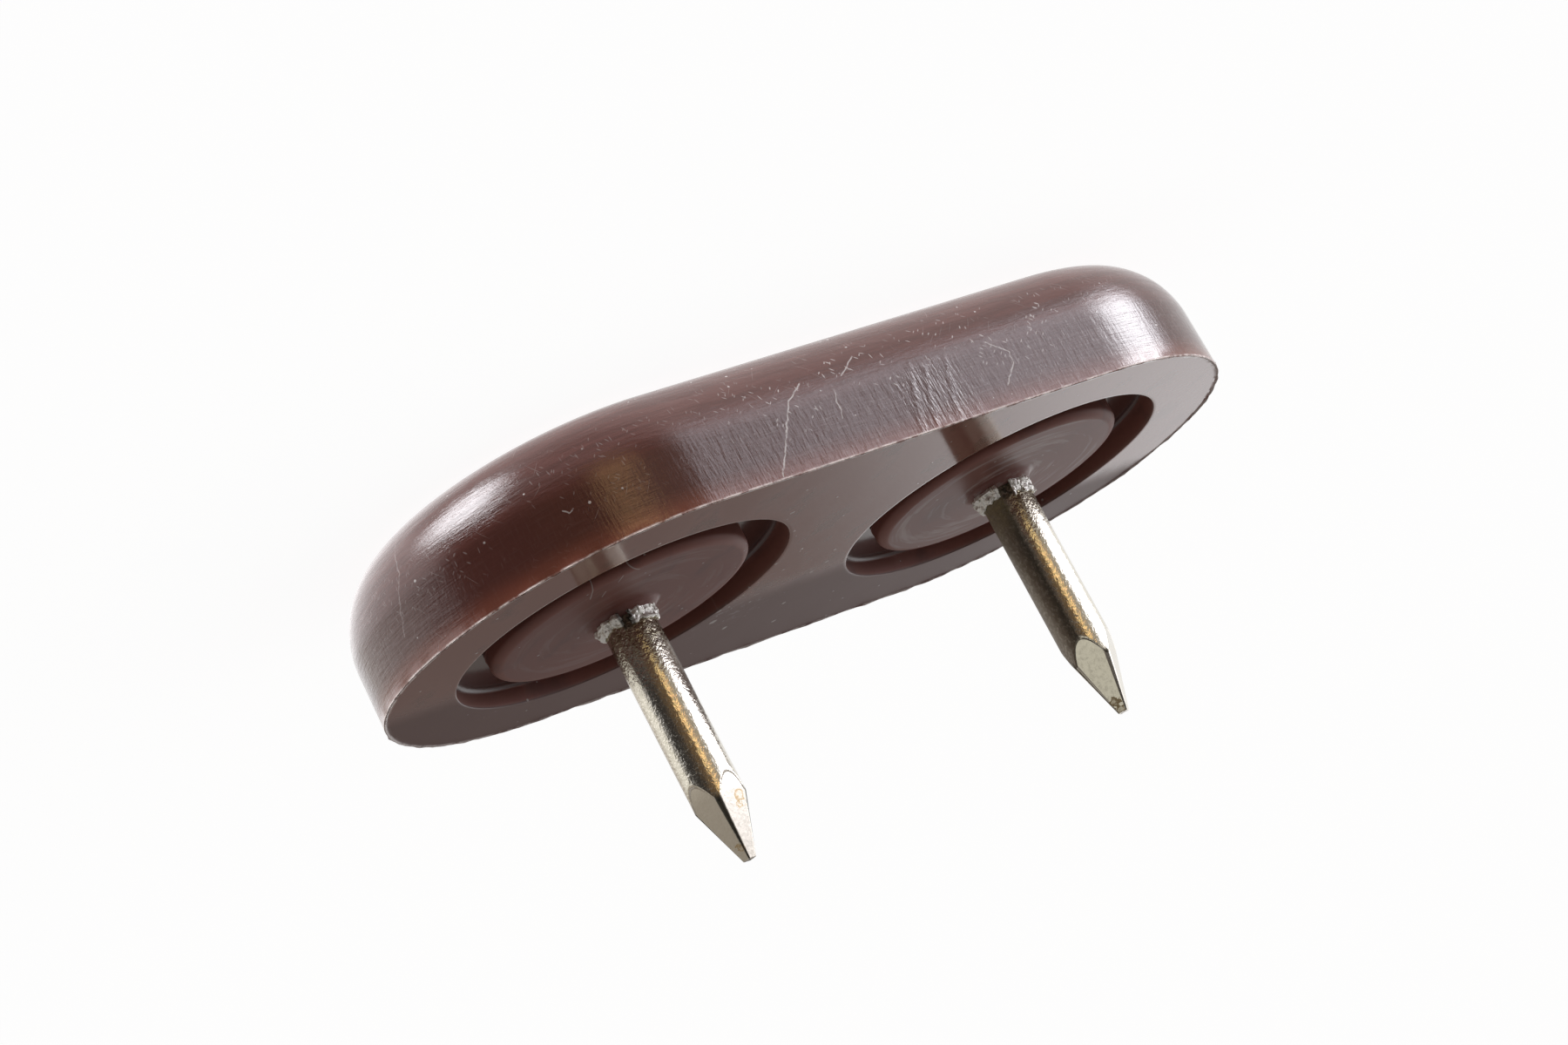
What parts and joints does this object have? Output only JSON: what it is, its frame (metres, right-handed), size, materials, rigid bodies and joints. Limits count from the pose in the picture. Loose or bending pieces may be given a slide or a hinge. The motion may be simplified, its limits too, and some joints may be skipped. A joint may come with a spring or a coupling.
{
  "type": "furniture glide",
  "caption": "Brown plastic furniture glide, stadium-shaped with a rounded sole, with steel nails moulded into round bosses in its mounting face.",
  "frame": {"origin": "centre of the flat sole that slides on the floor", "axes": "+Z from the sole along the nails to their points, +X along the body to the left nail, +Y across the body"},
  "size_m": [0.04, 0.0206, 0.0167],
  "materials": {
    "brown_plastic": "moulded, satin gloss",
    "nail_steel": "bright nickel"
  },
  "bodies": {
    "root": {"glide_body": "brown_plastic", "left_nail": "nail_steel", "right_nail": "nail_steel"}
  },
  "joints": []
}
